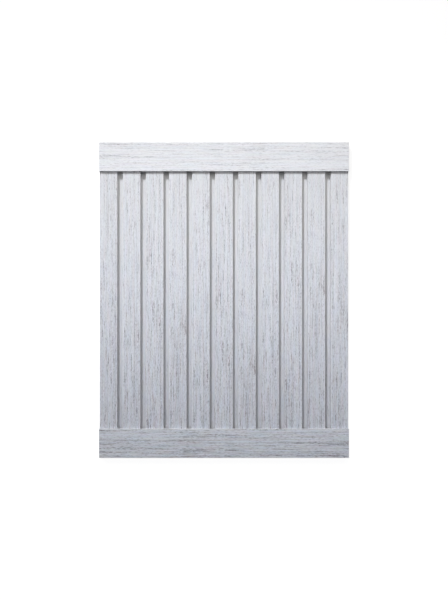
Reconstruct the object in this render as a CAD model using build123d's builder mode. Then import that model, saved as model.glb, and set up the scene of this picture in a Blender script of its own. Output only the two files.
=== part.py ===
"""Slatted wall panel: lap-jointed slat planks, an end trim at each side, and a rail across each end.

The panel lies on its back. X runs across the slats, Y runs up the wall towards the top rail and
Z points out of the wall. The origin is the middle of the back. All sizes are in millimetres.
"""

import os

from build123d import *

# Slat planks and end trims
plank_count = 3
slats_per_plank = 3
slat_face = 30.4  # front of one slat, from edge to edge
groove_mouth = 9.6  # between two slats, at their fronts
groove_depth = 9.0
web_thickness = 3.0  # floor of the grooves, and flange of the lap joint
wall_lean = 0.5  # a groove's wall comes in by this much between its mouth and its floor
slat_arris = 0.3  # radius along the front edges of a slat
lap_length = 8.0  # reach of a flange under the slat beside it
lap_clearance = 0.2  # above a flange and at its edge

# Rails
opening_height = 445.2  # length of slat in view between the rails
rail_width = 50.4
rail_thickness = 17.0
rail_overhang = 0.8  # past the outer slats, at each end
rail_arris = 0.4  # radius round the front of a rail
housing_depth = 12.0  # reach of a rail's lip over the ends of the slats
housing_clearance = 0.2  # under the lip and at the ends of the slats

# Sizes that follow
plank_thickness = web_thickness + groove_depth
plank_length = opening_height + 2 * (housing_depth - housing_clearance)
slat_pitch = slat_face + groove_mouth
slat_count = plank_count * slats_per_plank + 2
last_slat = slat_count - 1
field_width = slat_count * slat_pitch - groove_mouth
rail_length = field_width + 2 * rail_overhang
rebate_height = web_thickness + lap_clearance
housing_height = plank_thickness + housing_clearance


def slat_left(index):
    """X of a slat's left front edge; slat 0 is at the left end of the panel."""
    return index * slat_pitch - field_width / 2


def slat_right(index):
    """X of a slat's right front edge."""
    return slat_left(index) + slat_face


def left_side(first):
    """Lower left of a section: the panel's plain side, or a flange and the foot of its first wall."""
    if first == 0:
        return [(slat_left(first), 0)]
    flange_edge = slat_right(first - 1) + wall_lean - lap_length
    return [
        (flange_edge, 0),
        (flange_edge, web_thickness),
        (slat_left(first) - wall_lean, web_thickness),
    ]


def right_side(last):
    """Lower right of a section: the panel's plain side, or a rebate for the flange that follows."""
    if last == last_slat:
        return [(slat_right(last), 0)]
    wall_end = slat_right(last) + wall_lean * (plank_thickness - rebate_height) / groove_depth
    shoulder = slat_right(last) + wall_lean - lap_length - lap_clearance
    return [(wall_end, rebate_height), (shoulder, rebate_height), (shoulder, 0)]


def section_outline(first, last):
    """Corners of the section that carries the slats from first to last, from its lower left."""
    corners = left_side(first)
    for index in range(first, last + 1):
        corners += [(slat_left(index), plank_thickness), (slat_right(index), plank_thickness)]
        if index < last:
            corners += [
                (slat_right(index) + wall_lean, web_thickness),
                (slat_left(index + 1) - wall_lean, web_thickness),
            ]
    return corners + right_side(last)


def make_slat_piece(name, first, last):
    """A plank or an end trim: its section with rounded slat edges, run the length of the slats."""
    with BuildPart() as slat_piece:
        with BuildSketch(Plane.XZ) as section:
            with BuildLine():
                Polyline(*section_outline(first, last), close=True)
            make_face()
            fillet(section.vertices().group_by(Axis.Y)[-1], slat_arris)
        extrude(amount=plank_length / 2, both=True)
    slat_piece.part.label = name
    export_step(slat_piece.part, f"parts/{name}.step")


def make_rail(name, side):
    """A rail, rebated at the back for the slat ends; side is 1 at the top and -1 at the bottom."""
    with BuildPart() as rail:
        with BuildSketch(Plane((0, 0, 0), x_dir=(0, side, 0), z_dir=(side, 0, 0))):
            with Locations((opening_height / 2, 0)):
                Rectangle(rail_width, rail_thickness, align=Align.MIN)
                Rectangle(housing_depth, housing_height, align=Align.MIN, mode=Mode.SUBTRACT)
        extrude(amount=rail_length / 2, both=True)
        front = rail.faces().sort_by(Axis.Z)[-1]
        fillet(front.edges(), rail_arris)
    rail.part.label = name
    export_step(rail.part, f"parts/{name}.step")


os.makedirs("parts", exist_ok=True)

make_slat_piece("left_end_trim", 0, 0)
for plank in range(plank_count):
    first_slat = 1 + plank * slats_per_plank
    make_slat_piece(f"slat_plank_{plank + 1}", first_slat, first_slat + slats_per_plank - 1)
make_slat_piece("right_end_trim", last_slat, last_slat)

make_rail("top_rail", 1)
make_rail("bottom_rail", -1)
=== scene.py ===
"""Looks of the slatted wall panel: boards wrapped in whitewashed wood-grain film, on a white studio floor.

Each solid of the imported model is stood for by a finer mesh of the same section. Its surface carries the
place of every point on the printed film, in millimetres, so that one grain pattern drives both the colour
of the film and the relief embossed in it. The panel lies on its back: X runs across the slats, Y up the
wall towards the top rail and Z out of the wall. Sections, stations and every name that ends in _mm are in
millimetres; meshes, lamps and the camera are in metres.
"""

import logging
import math
from dataclasses import KW_ONLY, dataclass
from enum import Enum, IntEnum
from typing import Any

import bpy
import numpy as np
from mathutils import Matrix, Vector


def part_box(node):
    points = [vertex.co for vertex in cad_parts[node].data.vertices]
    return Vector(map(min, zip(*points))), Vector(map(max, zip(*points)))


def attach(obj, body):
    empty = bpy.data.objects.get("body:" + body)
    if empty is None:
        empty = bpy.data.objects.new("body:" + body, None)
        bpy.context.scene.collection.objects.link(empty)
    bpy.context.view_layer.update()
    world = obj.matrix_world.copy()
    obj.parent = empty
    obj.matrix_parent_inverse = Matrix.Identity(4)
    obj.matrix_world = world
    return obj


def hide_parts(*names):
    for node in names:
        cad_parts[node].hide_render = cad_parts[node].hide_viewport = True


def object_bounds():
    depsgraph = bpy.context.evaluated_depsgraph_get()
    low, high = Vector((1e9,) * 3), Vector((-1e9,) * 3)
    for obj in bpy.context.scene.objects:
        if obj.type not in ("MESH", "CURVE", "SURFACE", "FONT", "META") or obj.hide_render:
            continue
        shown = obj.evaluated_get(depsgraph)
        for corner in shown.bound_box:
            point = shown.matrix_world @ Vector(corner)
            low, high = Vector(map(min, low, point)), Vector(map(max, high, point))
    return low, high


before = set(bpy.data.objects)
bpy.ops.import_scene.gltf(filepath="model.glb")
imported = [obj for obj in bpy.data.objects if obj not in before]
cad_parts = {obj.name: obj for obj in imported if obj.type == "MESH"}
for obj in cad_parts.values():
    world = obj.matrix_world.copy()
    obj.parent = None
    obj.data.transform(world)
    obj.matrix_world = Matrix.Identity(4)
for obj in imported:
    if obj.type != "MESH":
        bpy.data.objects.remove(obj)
CAD_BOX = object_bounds()

Pair = tuple[float, float]
Point = tuple[float, float, float]
Tree = bpy.types.NodeTree
Node = bpy.types.Node
Socket = bpy.types.NodeSocket

MM = 0.001
IMAGE_LONG_SIDE_PX = 600

# Names under which a mesh stores what its film needs
FILM_PLACE = "film_mm"
RELIEF_MASK = "relief_mask"
# Share of the painted highlight on rounded edges and eased ends
EDGE_PAINTED_HIGHLIGHT = "edge_painted_highlight"
BAKE_MAP = "OFBake"

# Numbers of the mix node's colour sockets, which share their names with its other sockets
MIX_FROM = 6
MIX_TO = 7
MIXED = 2

log = logging.getLogger("wall_panel")


class Coat(IntEnum):
    """What covers one side of a section; the value is its material slot on the mesh."""

    FILM = 0
    BOARD = 1


class RailEnd(Enum):
    """Which end of the slats a rail closes; the value is the sign of its place along Y."""

    TOP = 1
    BOTTOM = -1


class NoiseSlice(float, Enum):
    """Depth at which each pattern cuts through the noise, so that no two patterns line up."""

    SWAY = 0.0
    BROWN = 3.1
    PATCH = 7.3
    ROSE = 11.9
    CALM = 17.9
    BLUE = 23.3
    LAYER_STEP = 31.7
    HIGHLIGHT_PATCH = 41.5


def linear_colour(hex_code: str) -> tuple[float, float, float, float]:
    """Turns an sRGB hex colour into the linear colour that shaders take, by the sRGB curve.

    Args:
        hex_code: Colour as "#RRGGBB".

    Returns:
        Linear red, green and blue, and an alpha of 1.
    """
    channels = [int(hex_code[start:start + 2], 16) / 255 for start in (1, 3, 5)]
    red, green, blue = (c / 12.92 if c <= 0.04045 else ((c + 0.055) / 1.055) ** 2.4 for c in channels)
    return red, green, blue, 1.0


def add_node(
    tree: Tree,
    kind: str,
    inputs: tuple[Any, ...] | dict[str | int, Any] = (),
    **settings: Any,
) -> Node:
    """Adds a node to a tree with its settings and its links.

    Args:
        tree: Shader or geometry tree that takes the node.
        kind: Blender's name of the node type.
        inputs: What feeds the inputs, in their order or by name or number: a socket to link, or a value.
        **settings: Properties of the node.

    Returns:
        The new node.
    """
    node = tree.nodes.new(kind)
    for name, value in settings.items():
        setattr(node, name, value)
    fed = inputs if isinstance(inputs, dict) else dict(enumerate(inputs))
    for key, value in fed.items():
        if isinstance(value, Socket):
            tree.links.new(value, node.inputs[key])
        else:
            node.inputs[key].default_value = value
    return node


def new_material(name: str) -> tuple[bpy.types.Material, Node]:
    """Starts a material.

    Args:
        name: Name of the material.

    Returns:
        The material, and its surface shader.
    """
    made = bpy.data.materials.new(name)
    made.use_nodes = True
    return made, made.node_tree.nodes["Principled BSDF"]


@dataclass(frozen=True)
class GrainLayer:
    """One size of mark in the printed grain: noise drawn out along the wood, darkening between two levels.

    Real pores are some tenths of a millimetre wide, too fine to show in the render, so the narrowest marks
    are drawn 0.6 to 1 mm wide.
    """

    size_mm: Pair
    levels: Pair
    strength: float
    detail: float = 2.0
    in_patches: bool = False


@dataclass(frozen=True)
class WoodGrain:
    """The grain printed on the film and pressed into it, as a sum of layers of marks.

    Some layers keep to patches, and all of them are weaker in calm areas. A size is a width across the
    grain and a length along it, and two levels are those of the noise between which a pattern sets in.
    """

    layers: tuple[GrainLayer, ...]
    patch_mm: Pair
    wander_mm: float  # to each side
    wander_size_mm: Pair
    patch_levels: Pair = (0.52, 0.68)
    patch_marks: Pair = (0.04, 1.0)
    calm_mm: Pair = (9.0, 150.0)
    calm_levels: Pair = (0.32, 0.68)
    calm_marks: Pair = (0.82, 1.18)

    def draw(self, tree: Tree, place: Socket) -> Socket:
        """Draws the grain in a shader tree or, alike, in a geometry tree.

        Args:
            tree: Tree that takes the nodes.
            place: Socket with the place on the film in millimetres, X across the grain and Y along it.

        Returns:
            Socket with the darkness of the grain, 0 on clear whitewash.
        """
        swayed = self._sway(tree, place)
        patches = self.noise(tree, swayed, self.patch_mm, NoiseSlice.PATCH, detail=2.0)
        in_patch = add_node(
            tree,
            "ShaderNodeMapRange",
            (patches, *self.patch_levels, *self.patch_marks),
            interpolation_type="SMOOTHSTEP",
        ).outputs[0]
        total: Any = 0.0
        for number, layer in enumerate(self.layers, start=1):
            noise = self.noise(tree, swayed, layer.size_mm, NoiseSlice.LAYER_STEP * number, layer.detail)
            mark = add_node(
                tree,
                "ShaderNodeMapRange",
                (noise, *layer.levels, 0.0, layer.strength),
                interpolation_type="SMOOTHSTEP",
            ).outputs[0]
            if layer.in_patches:
                mark = add_node(tree, "ShaderNodeMath", (mark, in_patch), operation="MULTIPLY").outputs[0]
            total = add_node(tree, "ShaderNodeMath", (mark, total), operation="ADD").outputs[0]
        areas = self.noise(tree, swayed, self.calm_mm, NoiseSlice.CALM)
        calm = add_node(
            tree,
            "ShaderNodeMapRange",
            (areas, *self.calm_levels, *self.calm_marks),
            interpolation_type="SMOOTHSTEP",
        ).outputs[0]
        return add_node(tree, "ShaderNodeMath", (total, calm), operation="MULTIPLY").outputs[0]

    def _sway(self, tree: Tree, place: Socket) -> Socket:
        """Lets the grain wander from side to side along the wood.

        Args:
            tree: Tree that takes the nodes.
            place: Socket with the place on the film in millimetres.

        Returns:
            Socket with the shifted place.
        """
        sway = self.noise(tree, place, self.wander_size_mm, NoiseSlice.SWAY, octave_share=0.5)
        shift = add_node(tree, "ShaderNodeMapRange", (sway, 0.0, 1.0, -self.wander_mm, self.wander_mm))
        offset = add_node(tree, "ShaderNodeCombineXYZ", {"X": shift.outputs[0]}).outputs[0]
        return add_node(tree, "ShaderNodeVectorMath", (place, offset), operation="ADD").outputs[0]

    @staticmethod
    def noise(
        tree: Tree,
        place: Socket,
        size_mm: Pair,
        depth: float,
        detail: float = 1.0,
        octave_share: float = 0.6,
    ) -> Socket:
        """Adds noise whose marks are about that wide and long.

        Args:
            tree: Tree that takes the nodes.
            place: Socket with the place on the film in millimetres.
            size_mm: Size of a mark across the grain and along it.
            depth: Third coordinate, which keeps the patterns apart.
            detail: Number of finer octaves.
            octave_share: Strength of each octave as a share of the one before.

        Returns:
            Socket with the noise, from 0 to 1.
        """
        width_mm, length_mm = size_mm
        sized = add_node(
            tree,
            "ShaderNodeVectorMath",
            (place, (1 / width_mm, 1 / length_mm, 0.0), (0.0, 0.0, depth)),
            operation="MULTIPLY_ADD",
        ).outputs[0]
        noise = add_node(
            tree,
            "ShaderNodeTexNoise",
            {"Vector": sized, "Scale": 1.0, "Detail": detail, "Roughness": octave_share},
        )
        return noise.outputs["Fac"]


@dataclass(frozen=True)
class WhitewashFilm:
    """Paper film, printed as whitewashed wood, lacquered matt and embossed along its grain.

    The eye sees a cool chalky white with thin grey and brown streaks, and only a soft broad sheen. Its
    colour also carries painted light: a painted sheen that weakens the grain towards the top, painted shade
    that strengthens and cools it towards the bottom and darkens the grooves, and a painted highlight along
    the edges.
    """

    name: str
    grain: WoodGrain

    # Clear whitewash, and how far it goes from cool to warm at the panel's top and at its bottom: the
    # cooler bottom is a painted tint of shade
    cool_wash: str = "#DBE0EA"
    warm_wash: str = "#E2E2E0"
    shade_tint_warmth: Pair = (0.60, 0.10)

    # Streaks, brown in patches, and the strength of the print at the panel's top and at its bottom: weaker
    # at the top as painted sheen, stronger at the bottom as painted shade
    grey_streak: str = "#635F67"
    brown_streak: str = "#826C71"
    brown_patch_mm: Pair = (3.0, 40.0)
    brown_levels: Pair = (0.48, 0.66)
    sheen_and_shade_fade: Pair = (0.67, 1.38)

    # Patches in which red or blue rises and falls by up to this share
    rose_patch_mm: Pair = (5.5, 45.0)
    rose_spread: float = 0.030
    blue_patch_mm: Pair = (3.5, 25.0)
    blue_spread: float = 0.033
    tint_levels: Pair = (0.3, 0.7)

    # Film below the first of these heights, as in the grooves, is more evenly printed, darkened towards a
    # set tone as painted shade, and warmer, partly its own tone and partly a painted tint of the shade
    # there
    recess_mm: Pair = (9.5, 11.0)
    groove_shade_warmth: float = 0.24
    recess_marks: float = 0.35
    groove_painted_shade: float = 0.19

    # Least and most share of a pale paper colour laid, in patches, along rounded edges and eased ends: a
    # painted highlight, drawn like rubbed paper
    highlight_paper_colour: str = "#F6F6F4"
    painted_highlight: Pair = (0.1, 0.75)
    painted_highlight_levels: Pair = (0.35, 0.65)
    painted_highlight_patch_mm: Pair = (3.0, 10.0)

    # Matt lacquer, rougher in the embossed streaks
    roughness: float = 0.5
    streak_roughness: float = 0.68
    ior: float = 1.5
    emboss_mm: float = 0.08
    bump_strength: float = 0.5

    def material(self) -> bpy.types.Material:
        """Builds the film's material.

        Returns:
            The material, which reads the place on the film from the mesh.
        """
        made, shader = new_material(self.name)
        tree = made.node_tree
        place = add_node(tree, "ShaderNodeAttribute", attribute_name=FILM_PLACE).outputs["Vector"]
        panel_place = add_node(tree, "ShaderNodeTexCoord").outputs["Object"]
        panel = add_node(tree, "ShaderNodeSeparateXYZ", (panel_place,))
        # Painted sheen and shade: the grain is weaker towards the top and stronger towards the bottom
        sheen_and_shade_fade = self._down_panel(tree, panel, self.sheen_and_shade_fade)
        darkness = self._darkness(tree, place, panel, sheen_and_shade_fade)
        colour = self._streaked(tree, place, self._wash(tree, panel), darkness)
        colour = self._tinted(tree, place, colour, sheen_and_shade_fade)
        # Painted highlight along rounded edges and eased ends, in patches
        colour = self._edge_highlighted(tree, place, colour)
        sheen = add_node(
            tree, "ShaderNodeMapRange", (darkness, 0.0, 1.0, self.roughness, self.streak_roughness)
        )
        bump = add_node(
            tree,
            "ShaderNodeBump",
            {"Strength": self.bump_strength, "Distance": self.emboss_mm * MM, "Height": darkness},
            invert=True,
        )
        shader.inputs["IOR"].default_value = self.ior
        tree.links.new(colour, shader.inputs["Base Color"])
        tree.links.new(sheen.outputs[0], shader.inputs["Roughness"])
        tree.links.new(bump.outputs[0], shader.inputs["Normal"])
        return made

    @staticmethod
    def _down_panel(tree: Tree, panel: Node, ends: Pair) -> Socket:
        """Changes a value evenly down the panel.

        Args:
            tree: Tree that takes the node.
            panel: Node with the place on the panel, split by axis.
            ends: The value at the panel's top and at its bottom.

        Returns:
            Socket with the value.
        """
        low, high = CAD_BOX
        return add_node(tree, "ShaderNodeMapRange", (panel.outputs["Y"], high.y, low.y, *ends)).outputs[0]

    def _out_of_groove(self, tree: Tree, panel: Node, ends: Pair) -> Socket:
        """Changes a value from the depth of a groove to its mouth.

        Args:
            tree: Tree that takes the node.
            panel: Node with the place on the panel, split by axis.
            ends: The value in the groove and at the front of the slats.

        Returns:
            Socket with the value.
        """
        low, high = (height * MM for height in self.recess_mm)
        return add_node(tree, "ShaderNodeMapRange", (panel.outputs["Z"], low, high, *ends)).outputs[0]

    def _darkness(self, tree: Tree, place: Socket, panel: Node, sheen_and_shade_fade: Socket) -> Socket:
        """Draws the grain, evens it out in the grooves on a painted shade, and weakens it towards the top
        as painted sheen and strengthens it towards the bottom as painted shade.

        Args:
            tree: Tree that takes the nodes.
            place: Socket with the place on the film in millimetres.
            panel: Node with the place on the panel, split by axis.
            sheen_and_shade_fade: Socket with the strength of the print.

        Returns:
            Socket with the darkness, from 0 to 1.
        """
        drawn = self.grain.draw(tree, place)
        marks = self._out_of_groove(tree, panel, (self.recess_marks, 1.0))
        # In the grooves the grain is drawn towards a set darkness: painted shade
        shaded_in_grooves = add_node(tree, "ShaderNodeMapRange", (marks, 0.0, 1.0, self.groove_painted_shade, drawn)).outputs[0]
        faded = add_node(tree, "ShaderNodeMath", (shaded_in_grooves, sheen_and_shade_fade), operation="MULTIPLY").outputs[0]
        return add_node(tree, "ShaderNodeClamp", (faded,)).outputs[0]

    def _wash(self, tree: Tree, panel: Node) -> Socket:
        """Colours the clear whitewash, with painted shade tints: cooler towards the bottom, and warmer in
        the grooves.

        Args:
            tree: Tree that takes the nodes.
            panel: Node with the place on the panel, split by axis.

        Returns:
            Socket with the colour.
        """
        # Painted shade tint: cooler towards the bottom of the panel
        shade_tint_down_panel = self._down_panel(tree, panel, self.shade_tint_warmth)
        # Painted shade tint: warmer in the grooves, partly the film's own tone
        shade_tint_in_groove = self._out_of_groove(tree, panel, (self.groove_shade_warmth, 0.0))
        warm = add_node(tree, "ShaderNodeMath", (shade_tint_down_panel, shade_tint_in_groove), operation="ADD").outputs[0]
        wash = add_node(
            tree,
            "ShaderNodeMix",
            {0: warm, MIX_FROM: linear_colour(self.cool_wash), MIX_TO: linear_colour(self.warm_wash)},
            data_type="RGBA",
        )
        return wash.outputs[MIXED]

    def _streaked(self, tree: Tree, place: Socket, wash: Socket, darkness: Socket) -> Socket:
        """Lays the streaks of the grain over the whitewash.

        Args:
            tree: Tree that takes the nodes.
            place: Socket with the place on the film in millimetres.
            wash: Socket with the colour of the whitewash.
            darkness: Socket with the darkness of the grain.

        Returns:
            Socket with the colour.
        """
        noise = self.grain.noise(tree, place, self.brown_patch_mm, NoiseSlice.BROWN)
        brown = add_node(tree, "ShaderNodeMapRange", (noise, *self.brown_levels)).outputs[0]
        streak = add_node(
            tree,
            "ShaderNodeMix",
            {0: brown, MIX_FROM: linear_colour(self.grey_streak), MIX_TO: linear_colour(self.brown_streak)},
            data_type="RGBA",
        )
        streaked = add_node(
            tree,
            "ShaderNodeMix",
            {0: darkness, MIX_FROM: wash, MIX_TO: streak.outputs[MIXED]},
            data_type="RGBA",
        )
        return streaked.outputs[MIXED]

    def _tinted(self, tree: Tree, place: Socket, colour: Socket, sheen_and_shade_fade: Socket) -> Socket:
        """Tints a colour in patches, more where the print is stronger, so less towards the top under the
        painted sheen.

        Args:
            tree: Tree that takes the nodes.
            place: Socket with the place on the film in millimetres.
            colour: Socket with the colour.
            sheen_and_shade_fade: Socket with the strength of the print.

        Returns:
            Socket with the tinted colour.
        """
        channels = (
            ("X", self.rose_patch_mm, self.rose_spread, NoiseSlice.ROSE),
            ("Z", self.blue_patch_mm, self.blue_spread, NoiseSlice.BLUE),
        )
        shares: dict[str | int, Any] = {}
        for channel, patch_mm, spread, depth in channels:
            noise = self.grain.noise(tree, place, patch_mm, depth, detail=2.0)
            share = add_node(tree, "ShaderNodeMapRange", (noise, *self.tint_levels, -spread, spread))
            shares[channel] = share.outputs[0]
        tint = add_node(tree, "ShaderNodeCombineXYZ", shares).outputs[0]
        faded = add_node(
            tree, "ShaderNodeVectorMath", {0: tint, "Scale": sheen_and_shade_fade}, operation="SCALE"
        ).outputs[0]
        return add_node(
            tree, "ShaderNodeVectorMath", (colour, faded, colour), operation="MULTIPLY_ADD"
        ).outputs[0]

    def _edge_highlighted(self, tree: Tree, place: Socket, colour: Socket) -> Socket:
        """Lays a painted highlight in patches along rounded edges and eased ends, in the pale colour of
        rubbed paper.

        Args:
            tree: Tree that takes the nodes.
            place: Socket with the place on the film in millimetres.
            colour: Socket with the colour of the print.

        Returns:
            Socket with the colour.
        """
        noise = self.grain.noise(tree, place, self.painted_highlight_patch_mm, NoiseSlice.HIGHLIGHT_PATCH)
        # Patches of the painted highlight along the edges
        bare = add_node(tree, "ShaderNodeMapRange", (noise, *self.painted_highlight_levels, *self.painted_highlight)).outputs[0]
        edge = add_node(tree, "ShaderNodeAttribute", attribute_name=EDGE_PAINTED_HIGHLIGHT).outputs["Fac"]
        share = add_node(tree, "ShaderNodeMath", (edge, bare), operation="MULTIPLY").outputs[0]
        highlighted = add_node(
            tree,
            "ShaderNodeMix",
            {0: share, MIX_FROM: colour, MIX_TO: linear_colour(self.highlight_paper_colour)},
            data_type="RGBA",
        )
        return highlighted.outputs[MIXED]

    def relief(self) -> Tree:
        """Builds the modifier that presses the grain into a mesh.

        Returns:
            A geometry tree that moves the masked points inwards where the grain is dark.
        """
        tree = bpy.data.node_groups.new(f"{self.name} relief", "GeometryNodeTree")
        for direction in ("INPUT", "OUTPUT"):
            tree.interface.new_socket("Geometry", in_out=direction, socket_type="NodeSocketGeometry")
        start = add_node(tree, "NodeGroupInput").outputs[0]
        place = add_node(
            tree, "GeometryNodeInputNamedAttribute", {"Name": FILM_PLACE}, data_type="FLOAT_VECTOR"
        ).outputs[0]
        mask = add_node(
            tree, "GeometryNodeInputNamedAttribute", {"Name": RELIEF_MASK}, data_type="FLOAT"
        ).outputs[0]
        drawn = self.grain.draw(tree, place)
        masked = add_node(tree, "ShaderNodeMath", (drawn, mask), operation="MULTIPLY").outputs[0]
        depth = add_node(
            tree, "ShaderNodeMath", (masked, -self.emboss_mm * MM), operation="MULTIPLY"
        ).outputs[0]
        normal = add_node(tree, "GeometryNodeInputNormal").outputs[0]
        push = add_node(
            tree, "ShaderNodeVectorMath", {0: normal, "Scale": depth}, operation="SCALE"
        ).outputs[0]
        pressed = add_node(tree, "GeometryNodeSetPosition", {"Geometry": start, "Offset": push}).outputs[0]
        add_node(tree, "NodeGroupOutput", {"Geometry": pressed})
        return tree


@dataclass(frozen=True)
class RawFibreboard:
    """Medium-density fibreboard, sawn or sanded and left bare.

    The eye sees an even tan with fine darker fibres, quite matt. Real fibres are too fine to show in the
    render, so they are drawn 1.2 mm wide.
    """

    name: str = "fibreboard_sawn"
    board: str = "#B9986F"
    fibre: str = "#8F7350"
    fibre_mm: float = 1.2
    fibre_detail: float = 3.0
    fibre_levels: Pair = (0.35, 0.75)
    fibre_relief_mm: float = 0.05
    bump_strength: float = 0.4
    roughness: float = 0.85

    def material(self) -> bpy.types.Material:
        """Builds the board's material.

        Returns:
            The material, patterned in the panel's own frame.
        """
        made, shader = new_material(self.name)
        tree = made.node_tree
        place = add_node(tree, "ShaderNodeTexCoord").outputs["Object"]
        noise = add_node(
            tree,
            "ShaderNodeTexNoise",
            {"Vector": place, "Scale": 1 / (self.fibre_mm * MM), "Detail": self.fibre_detail},
        )
        fibres = add_node(tree, "ShaderNodeMapRange", (noise.outputs["Fac"], *self.fibre_levels)).outputs[0]
        colour = add_node(
            tree,
            "ShaderNodeMix",
            {0: fibres, MIX_FROM: linear_colour(self.board), MIX_TO: linear_colour(self.fibre)},
            data_type="RGBA",
        )
        bump = add_node(
            tree,
            "ShaderNodeBump",
            {"Strength": self.bump_strength, "Distance": self.fibre_relief_mm * MM, "Height": fibres},
        )
        shader.inputs["Roughness"].default_value = self.roughness
        tree.links.new(colour.outputs[MIXED], shader.inputs["Base Color"])
        tree.links.new(bump.outputs[0], shader.inputs["Normal"])
        return made


@dataclass(frozen=True)
class Corner:
    """A corner of a section, with its rounding and the coat of the side that follows it."""

    across_mm: float
    height_mm: float
    radius_mm: float = 0.0
    coat: Coat = Coat.FILM

    def place(self) -> np.ndarray:
        """The corner as a point of the section's plane."""
        return np.array((self.across_mm, self.height_mm))


@dataclass(frozen=True)
class Ring:
    """A closed section, in millimetres.

    It holds the section's points, the distance to each round the ring, the coat of the side after each, and
    whether each lies on a rounded corner.
    """

    points: np.ndarray
    unrolled: np.ndarray
    coats: np.ndarray
    rounded: np.ndarray

    @classmethod
    def trace(cls, corners: list[Corner], column_mm: float, arc_sides: int) -> "Ring":
        """Rounds the corners of a section and divides its film-covered sides into columns.

        Args:
            corners: Corners in order, clockwise as seen with the front of the board up.
            column_mm: Widest column on a film-covered side.
            arc_sides: Number of sides of a rounded corner.

        Returns:
            The ring.
        """
        arcs = [
            cls._round(corners[index - 1], corner, corners[(index + 1) % len(corners)], arc_sides)
            for index, corner in enumerate(corners)
        ]
        points: list[np.ndarray] = []
        coats: list[Coat] = []
        rounded: list[bool] = []
        for index, corner in enumerate(corners):
            arc = arcs[index]
            target = arcs[(index + 1) % len(corners)][0]
            points.extend(arc)
            coats.extend([corner.coat] * len(arc))
            rounded.extend([len(arc) > 1] * len(arc))
            if corner.coat is Coat.FILM:
                columns = math.ceil(np.linalg.norm(target - arc[-1]) / column_mm)
                shares = np.arange(1, columns) / columns
                points.extend(arc[-1] + share * (target - arc[-1]) for share in shares)
                coats.extend([corner.coat] * len(shares))
                rounded.extend([False] * len(shares))
        ring = np.array(points)
        sides = np.linalg.norm(np.roll(ring, -1, axis=0) - ring, axis=1)
        return cls(ring, np.concatenate(([0.0], np.cumsum(sides))), np.array(coats), np.array(rounded))

    @staticmethod
    def _round(before: Corner, corner: Corner, after: Corner, arc_sides: int) -> list[np.ndarray]:
        """Replaces a corner by points on its arc.

        Args:
            before: Corner that comes before it.
            corner: Corner to round.
            after: Corner that comes after it.
            arc_sides: Number of sides of the arc.

        Returns:
            Points of the arc, or the corner's own point where it isn't rounded.
        """
        tip = corner.place()
        if corner.radius_mm == 0:
            return [tip]
        inward = tip - before.place()
        outward = after.place() - tip
        inward /= np.linalg.norm(inward)
        outward /= np.linalg.norm(outward)
        turn = math.acos(float(np.clip(inward @ outward, -1, 1)))
        start = tip - inward * corner.radius_mm * math.tan(turn / 2)
        to_centre = np.array((inward[1], -inward[0])) * corner.radius_mm
        centre = start + to_centre
        x, z = -to_centre
        points = []
        for step in range(arc_sides + 1):
            angle = -turn * step / arc_sides
            cos, sin = math.cos(angle), math.sin(angle)
            points.append(centre + np.array((cos * x - sin * z, sin * x + cos * z)))
        return points


@dataclass(frozen=True)
class FilmPlace:
    """Where a piece's film lay on the printed roll."""

    across_mm: float
    along_mm: float


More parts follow.
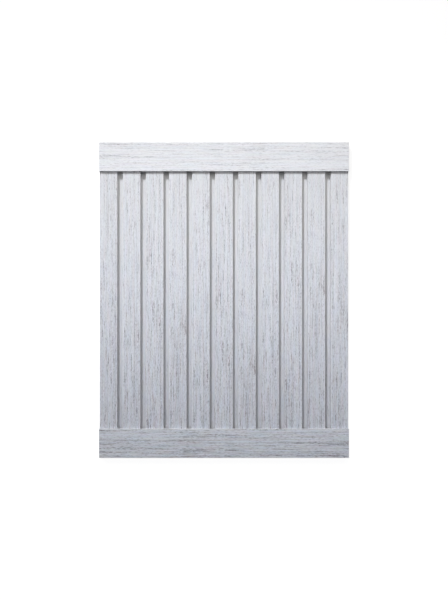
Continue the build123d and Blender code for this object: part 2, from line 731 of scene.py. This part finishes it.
@dataclass
class Board:
    """A piece made by running a section along a length, wrapped in film."""

    node: str
    slot: str
    roll: FilmPlace
    film: WhitewashFilm
    _: KW_ONLY
    column_mm: float = 0.55  # widest face across a film-covered side
    station_mm: float = 2.0  # longest face along the board
    arc_sides: int = 6
    crease_deg: float = 40.0  # sharper edges are shaded as creases
    least_easing_mm: float = 0.001  # an end eased by less counts as square
    chart_gap_mm: float = 4.0  # between the parts of the bake map

    def corners(self) -> list[Corner]:
        """Corners of the section; each kind of board has its own."""
        raise NotImplementedError

    def stations(self) -> np.ndarray:
        """Places of the section along the board, in millimetres."""
        raise NotImplementedError

    def place(self, across: np.ndarray, along: np.ndarray, height: np.ndarray) -> np.ndarray:
        """Puts points of the board in the panel's frame, in millimetres."""
        raise NotImplementedError

    def crown(self, along: np.ndarray) -> np.ndarray:
        """Greatest height of the section at each place along the board, in millimetres."""
        return np.full_like(along, np.inf)

    def end_coat(self) -> Coat:
        """What covers the board's two ends."""
        return Coat.BOARD

    def build(self, materials: list[bpy.types.Material], relief: Tree) -> bpy.types.Object:
        """Builds the board's mesh, dresses it and lets it stand for its solid.

        Args:
            materials: Materials in the order of Coat.
            relief: Geometry tree that presses the grain into the mesh.

        Returns:
            The finished piece.
        """
        ring = Ring.trace(self.corners(), self.column_mm, self.arc_sides)
        mesh = self._mesh(ring, self.stations())
        for material in materials:
            mesh.materials.append(material)
        piece = bpy.data.objects.new(f"{self.node}_wrapped", mesh)
        bpy.context.scene.collection.objects.link(piece)
        modifier = piece.modifiers.new("embossed grain", "NODES")
        modifier.node_group = relief
        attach(piece, "root")
        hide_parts(self.node)
        return piece

    def _mesh(self, ring: Ring, along: np.ndarray) -> bpy.types.Mesh:
        """Runs a ring along the stations and closes it with a face at each end.

        Args:
            ring: Section of the board.
            along: Stations in millimetres.

        Returns:
            The mesh, with the place on the film, the masks and the bake map.
        """
        count, rows = len(ring.points), len(along)
        across = np.tile(ring.points[:, 0], rows)
        stations = np.repeat(along, count)
        height = np.minimum(np.tile(ring.points[:, 1], rows), self.crown(stations))
        first = np.arange(count)
        second = (first + 1) % count
        row = (np.arange(rows - 1) * count)[:, None]
        quads = np.stack((row + first, row + second, row + count + second, row + count + first), axis=-1)
        corner_points = np.concatenate((quads.ravel(), first[::-1], (rows - 1) * count + first))
        sides = np.concatenate((np.full((rows - 1) * count, 4), (count, count)))
        coats = np.concatenate((np.tile(ring.coats, rows - 1), [self.end_coat()] * 2))

        mesh = bpy.data.meshes.new(self.node)
        mesh.vertices.add(count * rows)
        mesh.vertices.foreach_set("co", (self.place(across, stations, height) * MM).ravel())
        mesh.loops.add(len(corner_points))
        mesh.loops.foreach_set("vertex_index", corner_points)
        mesh.polygons.add(len(sides))
        mesh.polygons.foreach_set("loop_start", np.concatenate(([0], np.cumsum(sides)[:-1])))
        mesh.polygons.foreach_set("loop_total", sides)
        mesh.polygons.foreach_set("material_index", coats.astype(np.int32))
        mesh.polygons.foreach_set("use_smooth", np.ones(len(sides), bool))
        mesh.update(calc_edges=True)
        mesh.validate()
        mesh.set_sharp_from_angle(angle=math.radians(self.crease_deg))
        self._store_film(mesh, ring, along)
        self._store_masks(mesh, ring, along)
        return mesh

    def _store_film(self, mesh: bpy.types.Mesh, ring: Ring, along: np.ndarray) -> None:
        """Stores where each corner of each face lies on the film, and the map that bakes use.

        The film runs round the section in one sheet and is folded from the front over the ends.

        Args:
            mesh: Mesh to store them on.
            ring: Section of the board.
            along: Stations in millimetres.
        """
        left, right = ring.unrolled[:-1], ring.unrolled[1:]
        near, far = along[:-1], along[1:]
        sheet_across = np.tile(np.stack((left, right, right, left), axis=-1), (len(near), 1)).ravel()
        sheet_along = np.repeat(np.stack((near, near, far, far), axis=-1), len(left), axis=0).ravel()
        gap = self.chart_gap_mm
        girth = ring.unrolled[-1]
        across = ring.points[:, 0]
        height = np.minimum(ring.points[:, 1], self.crown(along[:1]))
        drop = ring.points[:, 1].max() - height
        front = int(np.argmax(ring.points[:, 1]))
        film_start = ring.unrolled[front] - across[front]
        film_u, film_v = [sheet_across], [sheet_along]
        bake_u, bake_v = [sheet_across], [sheet_along - along[0]]
        for number, (end, outward) in enumerate(((along[0], -1), (along[-1], 1))):
            film_u.append((film_start + across)[::outward])
            film_v.append((end + outward * drop)[::outward])
            bake_u.append((girth + gap + height)[::outward])
            bake_v.append((across - across.min() + number * (np.ptp(across) + gap))[::outward])
        place = np.zeros((len(mesh.loops), 3), np.float32)
        place[:, 0] = np.concatenate(film_u) + self.roll.across_mm
        place[:, 1] = np.concatenate(film_v) + self.roll.along_mm
        mesh.attributes.new(FILM_PLACE, "FLOAT_VECTOR", "CORNER").data.foreach_set("vector", place.ravel())
        chart = np.stack((np.concatenate(bake_u), np.concatenate(bake_v)), axis=-1) + gap
        chart /= chart.max() + gap
        mesh.uv_layers.new(name=BAKE_MAP).data.foreach_set("uv", chart.astype(np.float32).ravel())

    def _store_masks(self, mesh: bpy.types.Mesh, ring: Ring, along: np.ndarray) -> None:
        """Stores where the grain is pressed in and where the edges get a painted highlight.

        The grain is pressed into film away from the board's ends. Rounded edges and eased ends get the
        painted highlight.

        Args:
            mesh: Mesh to store them on.
            ring: Section of the board.
            along: Stations in millimetres.
        """
        film = ring.coats == Coat.FILM
        on_film = (film & np.roll(film, 1)).astype(np.float32)
        inside = np.ones(len(along), np.float32)
        inside[[0, -1]] = 0.0
        eased = ring.points[:, 1].max() - self.crown(along) > self.least_easing_mm
        masks = {
            RELIEF_MASK: np.outer(inside, on_film),
            # Painted highlight on rounded edges and eased ends
            EDGE_PAINTED_HIGHLIGHT: np.logical_or.outer(eased, ring.rounded).astype(np.float32),
        }
        for name, mask in masks.items():
            mesh.attributes.new(name, "FLOAT", "POINT").data.foreach_set("value", mask.ravel())


@dataclass
class SlatBoard(Board):
    """A plank or an end trim: slats on a thin web, with a flange and a rebate that lap its neighbours."""

    first: int
    last: int
    slat_count: int = 11
    slat_face_mm: float = 30.4
    groove_mouth_mm: float = 9.6
    groove_depth_mm: float = 9.0
    web_mm: float = 3.0
    wall_lean_mm: float = 0.5
    arris_mm: float = 0.3
    lap_mm: float = 8.0
    lap_clearance_mm: float = 0.2

    def slat_left(self, index: int) -> float:
        """Finds the left front edge of a slat.

        Args:
            index: Number of the slat, 0 at the left end of the panel.

        Returns:
            Its place along X in millimetres.
        """
        pitch = self.slat_face_mm + self.groove_mouth_mm
        field_width = self.slat_count * pitch - self.groove_mouth_mm
        return index * pitch - field_width / 2

    def slat_right(self, index: int) -> float:
        """Right front edge of a slat, in millimetres."""
        return self.slat_left(index) + self.slat_face_mm

    def front(self) -> float:
        """Height of the slats' front, in millimetres."""
        return self.web_mm + self.groove_depth_mm

    def corners(self) -> list[Corner]:
        """Corners of the section, from its lower left over the slats to its lower right.

        Returns:
            The corners, each with the coat of the side that follows it.
        """
        outline = self._left_side()
        for index in range(self.first, self.last + 1):
            outline.append(Corner(self.slat_left(index), self.front(), self.arris_mm))
            outline.append(Corner(self.slat_right(index), self.front(), self.arris_mm))
            if index < self.last:
                outline.append(Corner(self.slat_right(index) + self.wall_lean_mm, self.web_mm))
                outline.append(Corner(self.slat_left(index + 1) - self.wall_lean_mm, self.web_mm))
        return outline + self._right_side()

    def _left_side(self) -> list[Corner]:
        """Lower left of the section: the panel's plain side, or a flange and the foot of its first wall.

        Returns:
            The corners in order.
        """
        if self.first == 0:
            return [Corner(self.slat_left(0), 0.0)]
        flange = self.slat_right(self.first - 1) + self.wall_lean_mm - self.lap_mm
        return [
            Corner(flange, 0.0, coat=Coat.BOARD),
            Corner(flange, self.web_mm),
            Corner(self.slat_left(self.first) - self.wall_lean_mm, self.web_mm),
        ]

    def _right_side(self) -> list[Corner]:
        """Lower right of the section: the panel's plain side, or a rebate for the flange that follows.

        Returns:
            The corners in order.
        """
        if self.last == self.slat_count - 1:
            return [Corner(self.slat_right(self.last), 0.0, coat=Coat.BOARD)]
        rebate = self.web_mm + self.lap_clearance_mm
        lean = self.wall_lean_mm * (self.front() - rebate) / self.groove_depth_mm
        shoulder = self.slat_right(self.last) + self.wall_lean_mm - self.lap_mm - self.lap_clearance_mm
        return [
            Corner(self.slat_right(self.last) + lean, rebate, coat=Coat.BOARD),
            Corner(shoulder, rebate, coat=Coat.BOARD),
            Corner(shoulder, 0.0, coat=Coat.BOARD),
        ]

    def stations(self) -> np.ndarray:
        """Spaces stations evenly over the length of the solid.

        Returns:
            The stations in millimetres, from the bottom up.
        """
        low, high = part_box(self.node)
        spans = math.ceil((high.y - low.y) / MM / self.station_mm)
        return np.linspace(low.y, high.y, spans + 1) / MM

    def place(self, across: np.ndarray, along: np.ndarray, height: np.ndarray) -> np.ndarray:
        """Slats run along Y."""
        return np.stack((across, along, height), axis=-1)


@dataclass
class Rail(Board):
    """A rail across the slats' ends: a flat board with an eased front, rebated at the back."""

    end: RailEnd
    arris_mm: float = 0.4
    housing_mm: float = 12.0
    housing_clearance_mm: float = 0.2
    slat_thickness_mm: float = 12.0

    def corners(self) -> list[Corner]:
        """Corners of the section, from the back of the rebate over the front to the outer edge.

        Returns:
            The corners, each with the coat of the side that follows it.
        """
        low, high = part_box(self.node)
        inner, outer = sorted((abs(low.y) / MM, abs(high.y) / MM))
        thickness = high.z / MM
        ceiling = self.slat_thickness_mm + self.housing_clearance_mm
        back = inner + self.housing_mm
        return [
            Corner(back, 0.0, coat=Coat.BOARD),
            Corner(back, ceiling, coat=Coat.BOARD),
            Corner(inner, ceiling),
            Corner(inner, thickness, self.arris_mm),
            Corner(outer, thickness, self.arris_mm),
            Corner(outer, 0.0, coat=Coat.BOARD),
        ]

    def stations(self) -> np.ndarray:
        """Spaces stations evenly over the length of the solid, and closer where its ends are eased.

        Returns:
            The stations in millimetres, from one end to the other.
        """
        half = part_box(self.node)[1].x / MM
        turns = np.linspace(0, math.pi / 2, self.arc_sides + 1)
        eased = half - self.arris_mm * (1 - np.cos(turns))
        spans = math.ceil(2 * eased[-1] / self.station_mm)
        even = np.linspace(-eased[-1], eased[-1], spans + 1)
        return np.concatenate((-eased[:-1], even, eased[-2::-1]))

    def crown(self, along: np.ndarray) -> np.ndarray:
        """Finds the height that the easing of the ends leaves.

        Args:
            along: Places along the rail in millimetres.

        Returns:
            The height at each place in millimetres.
        """
        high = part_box(self.node)[1]
        inset = np.clip(self.arris_mm - (high.x / MM - np.abs(along)), 0, self.arris_mm)
        return high.z / MM - self.arris_mm + np.sqrt(self.arris_mm**2 - inset**2)

    def end_coat(self) -> Coat:
        """The film is folded over the ends of a rail."""
        return Coat.FILM

    def place(self, across: np.ndarray, along: np.ndarray, height: np.ndarray) -> np.ndarray:
        """Rails run along X; the bottom one is the top one turned end for end."""
        sign = self.end.value
        return np.stack((-sign * along, sign * across, height), axis=-1)


def seen_directly(tree: Tree) -> Socket:
    """Tells rays that show a surface to the eye from rays that carry its light.

    Args:
        tree: Tree that takes the nodes.

    Returns:
        Socket that is 1 for camera, glossy and transmission rays.
    """
    path = add_node(tree, "ShaderNodeLightPath")
    seen: Any = 0.0
    for name in ("Is Camera Ray", "Is Glossy Ray", "Is Transmission Ray"):
        seen = add_node(tree, "ShaderNodeMath", (path.outputs[name], seen), operation="MAXIMUM").outputs[0]
    return seen


@dataclass(frozen=True)
class FloorPaint:
    """White emulsion, rolled on the studio floor and dead matt: the eye sees plain white, faintly shaded.

    The paint is kept grey, so that it throws little light on the panel. Where it is seen directly it glows
    up to white, more so towards the bottom of the panel, where the lamps light it less, and far away.
    """

    name: str = "studio_floor_white_paint"
    paint: str = "#959595"
    roughness: float = 1.0
    specular: float = 0.0
    glow_tint: str = "#FFFFFF"
    glow: Pair = (0.79, 0.99)
    glow_reach: Pair = (0.45, -0.5)
    far_glow: float = 1.0
    far_reach: Pair = (0.8, 3.0)

    def material(self) -> bpy.types.Material:
        """Builds the paint's material.

        Returns:
            The material.
        """
        made, shader = new_material(self.name)
        tree = made.node_tree
        place = add_node(tree, "ShaderNodeTexCoord").outputs["Object"]
        up = add_node(tree, "ShaderNodeSeparateXYZ", (place,)).outputs["Y"]
        beside = add_node(tree, "ShaderNodeMapRange", (up, *self.glow_reach, *self.glow)).outputs[0]
        away = add_node(tree, "ShaderNodeVectorMath", (place,), operation="LENGTH").outputs["Value"]
        far = add_node(
            tree, "ShaderNodeMapRange", (away, *self.far_reach, self.glow[0], self.far_glow)
        ).outputs[0]
        glow = add_node(tree, "ShaderNodeMath", (beside, far), operation="MAXIMUM").outputs[0]
        shown = add_node(tree, "ShaderNodeMath", (seen_directly(tree), glow), operation="MULTIPLY")
        shader.inputs["Base Color"].default_value = linear_colour(self.paint)
        shader.inputs["Roughness"].default_value = self.roughness
        shader.inputs["Specular IOR Level"].default_value = self.specular
        shader.inputs["Emission Color"].default_value = linear_colour(self.glow_tint)
        tree.links.new(shown.outputs[0], shader.inputs["Emission Strength"])
        return made


@dataclass(frozen=True)
class Lamp:
    """A studio lamp: where it hangs, the point that it faces, its power and the colour of its light."""

    name: str
    place: Point
    aim: Point
    watts: float
    tint: str

    def _hang(self, data: bpy.types.Light) -> bpy.types.Object:
        """Puts the lamp in the studio, level across the panel and turned to its point.

        Args:
            data: Its light.

        Returns:
            The lamp.
        """
        data.energy = self.watts
        data.color = linear_colour(self.tint)[:3]
        lamp = bpy.data.objects.new(self.name, data)
        lamp.location = self.place
        back = (Vector(self.place) - Vector(self.aim)).normalized()
        across = Vector((1.0, 0.0, 0.0)) - back * back.x
        across.normalize()
        lamp.rotation_euler = Matrix((across, back.cross(across), back)).transposed().to_euler()
        lamp.visible_camera = False
        bpy.context.scene.collection.objects.link(lamp)
        return lamp


@dataclass(frozen=True)
class SoftSpot(Lamp):
    """A lamp with a round face and a cone whose soft edge lets the light fall off down the panel."""

    radius: float
    cone_deg: float
    stretch: float
    edge_softness: float = 1.0

    def hang(self) -> bpy.types.Object:
        """Hangs the lamp with its cone stretched along X, so that its light falls off down the panel only.

        Returns:
            The lamp.
        """
        data = bpy.data.lights.new(self.name, "SPOT")
        data.shadow_soft_size = self.radius
        data.spot_size = math.radians(self.cone_deg)
        data.spot_blend = self.edge_softness
        lamp = self._hang(data)
        lamp.scale = (self.stretch, 1.0, 1.0)
        return lamp


@dataclass(frozen=True)
class SoftBox(Lamp):
    """A wide flat lamp that lights the panel from over its top edge."""

    width: float
    depth: float

    def hang(self) -> bpy.types.Object:
        """Hangs the lamp.

        Returns:
            The lamp.
        """
        data = bpy.data.lights.new(self.name, "AREA")
        data.shape = "RECTANGLE"
        data.size = self.width
        data.size_y = self.depth
        return self._hang(data)


@dataclass
class Studio:
    """Camera square above the panel, a key light from its upper left, a broad fill and a white floor."""

    camera_height: float = 2.212
    slat_plane: float = 0.012
    mm_per_px: float = 1.7316
    sensor_mm: float = 36.0
    key: SoftSpot = SoftSpot(
        name="key",
        place=(-1.57, 3.57, 3.58),
        aim=(0.0, 0.06, 0.0),
        watts=1176.0,
        tint="#F5F8FF",
        radius=0.28,
        cone_deg=6.4,
        stretch=3.0,
    )
    fill: SoftBox = SoftBox(
        name="fill",
        place=(-0.4, 1.2, 1.2),
        aim=(-0.4, 1.2, 0.0),
        watts=23.8,
        tint="#FFFCF5",
        width=3.0,
        depth=1.6,
    )
    world_strength: float = 0.12
    world_tint: str = "#F0F2FF"
    backdrop_strength: float = 1.0
    backdrop: str = "#FFFFFF"
    floor_size: float = 30.0
    floor_paint: FloorPaint = FloorPaint()

    def place_camera(self) -> bpy.types.Object:
        """Places the camera so that a slat's pitch covers as many pixels as in the photograph.

        Returns:
            The camera.
        """
        data = bpy.data.cameras.new("camera")
        data.sensor_width = self.sensor_mm
        distance_px = (self.camera_height - self.slat_plane) / (self.mm_per_px * MM)
        data.lens = self.sensor_mm * distance_px / IMAGE_LONG_SIDE_PX
        camera = bpy.data.objects.new("camera", data)
        camera.location = (0.0, 0.0, self.camera_height)
        bpy.context.scene.collection.objects.link(camera)
        bpy.context.scene.camera = camera
        return camera

    def light(self) -> None:
        """Hangs the two lamps and sets the world's soft light, which the eye sees as a plain backdrop."""
        self.key.hang()
        self.fill.hang()
        world = bpy.data.worlds.new("studio")
        world.use_nodes = True
        bpy.context.scene.world = world
        tree = world.node_tree
        seen = seen_directly(tree)
        strength = add_node(
            tree, "ShaderNodeMapRange", (seen, 0.0, 1.0, self.world_strength, self.backdrop_strength)
        )
        tint = add_node(
            tree,
            "ShaderNodeMix",
            {0: seen, MIX_FROM: linear_colour(self.world_tint), MIX_TO: linear_colour(self.backdrop)},
            data_type="RGBA",
        )
        tree.links.new(strength.outputs[0], tree.nodes["Background"].inputs["Strength"])
        tree.links.new(tint.outputs[MIXED], tree.nodes["Background"].inputs["Color"])

    def lay_floor(self) -> bpy.types.Object:
        """Lays the white floor that the panel rests on.

        Returns:
            The floor.
        """
        half = self.floor_size / 2
        corners = [(x * half, y * half, 0.0) for x, y in ((-1, -1), (1, -1), (1, 1), (-1, 1))]
        mesh = bpy.data.meshes.new("floor")
        mesh.from_pydata(corners, [], [range(len(corners))])
        mesh.materials.append(self.floor_paint.material())
        floor = bpy.data.objects.new("floor", mesh)
        bpy.context.scene.collection.objects.link(floor)
        return floor


# Each layer: width and length of its marks, the levels of noise between which they darken, and how much
UPRIGHT_GRAIN = WoodGrain(
    layers=(
        GrainLayer((1.0, 260.0), (0.44, 0.80), 0.27),
        GrainLayer((0.9, 90.0), (0.50, 0.78), 0.18),
        GrainLayer((0.8, 30.0), (0.54, 0.70), 0.22),
        GrainLayer((0.7, 5.0), (0.50, 0.74), 0.40),
        GrainLayer((0.6, 10.0), (0.52, 0.59), 0.50, detail=1.0, in_patches=True),
        GrainLayer((0.6, 3.5), (0.52, 0.59), 0.47, detail=1.0, in_patches=True),
        GrainLayer((6.0, 140.0), (0.35, 0.75), 0.06),
    ),
    patch_mm=(1.5, 48.0),
    wander_mm=1.2,
    wander_size_mm=(25.0, 70.0),
)

LEVEL_GRAIN = WoodGrain(
    layers=(
        GrainLayer((1.0, 320.0), (0.46, 0.78), 0.23),
        GrainLayer((0.9, 120.0), (0.51, 0.78), 0.22),
        GrainLayer((0.8, 40.0), (0.54, 0.70), 0.26),
        GrainLayer((0.7, 6.0), (0.50, 0.74), 0.42),
        GrainLayer((0.6, 12.0), (0.52, 0.59), 0.70, detail=1.0, in_patches=True),
        GrainLayer((0.6, 5.0), (0.52, 0.59), 0.57, detail=1.0, in_patches=True),
        GrainLayer((5.0, 150.0), (0.35, 0.75), 0.06),
    ),
    patch_mm=(1.5, 160.0),
    wander_mm=1.6,
    wander_size_mm=(22.0, 80.0),
)


def main() -> None:
    """Builds the panel's pieces and the studio, and reports each."""
    logging.basicConfig(level=logging.INFO, format="%(name)s: %(message)s")
    board = RawFibreboard().material()
    upright = WhitewashFilm("paper_film_whitewash_upright", UPRIGHT_GRAIN)
    level = WhitewashFilm(
        "paper_film_whitewash_level",
        LEVEL_GRAIN,
        cool_wash="#E4EAF3",
        warm_wash="#EDECEB",
        # The rails' edges get a stronger painted highlight
        painted_highlight=(0.45, 1.0),
    )
    # The planks repeat one print, shifted along it; the trims are cut from other places on the roll
    repeat_mm = 69.0
    pieces: list[Board] = [
        SlatBoard("left_end_trim", "upright_grain", FilmPlace(411.0, 230.0), upright, first=0, last=0),
        SlatBoard("slat_plank_1", "upright_grain", FilmPlace(0.0, 0.0), upright, first=1, last=3),
        SlatBoard("slat_plank_2", "upright_grain", FilmPlace(0.0, repeat_mm), upright, first=4, last=6),
        SlatBoard("slat_plank_3", "upright_grain", FilmPlace(0.0, -repeat_mm), upright, first=7, last=9),
        SlatBoard("right_end_trim", "upright_grain", FilmPlace(-377.0, 510.0), upright, first=10, last=10),
        Rail("top_rail", "level_grain", FilmPlace(0.0, 0.0), level, end=RailEnd.TOP),
        Rail("bottom_rail", "level_grain", FilmPlace(0.0, 0.0), level, end=RailEnd.BOTTOM),
    ]
    dressings = {film: ([film.material(), board], film.relief()) for film in (upright, level)}
    for piece in pieces:
        made = piece.build(*dressings[piece.film])
        log.info("%s: %d faces", made.name, len(made.data.polygons))
    studio = Studio()
    studio.place_camera()
    studio.light()
    log.info("%s laid", studio.lay_floor().name)
    bpy.context.scene.view_settings.view_transform = "Standard"


if __name__ == "__main__":
    main()
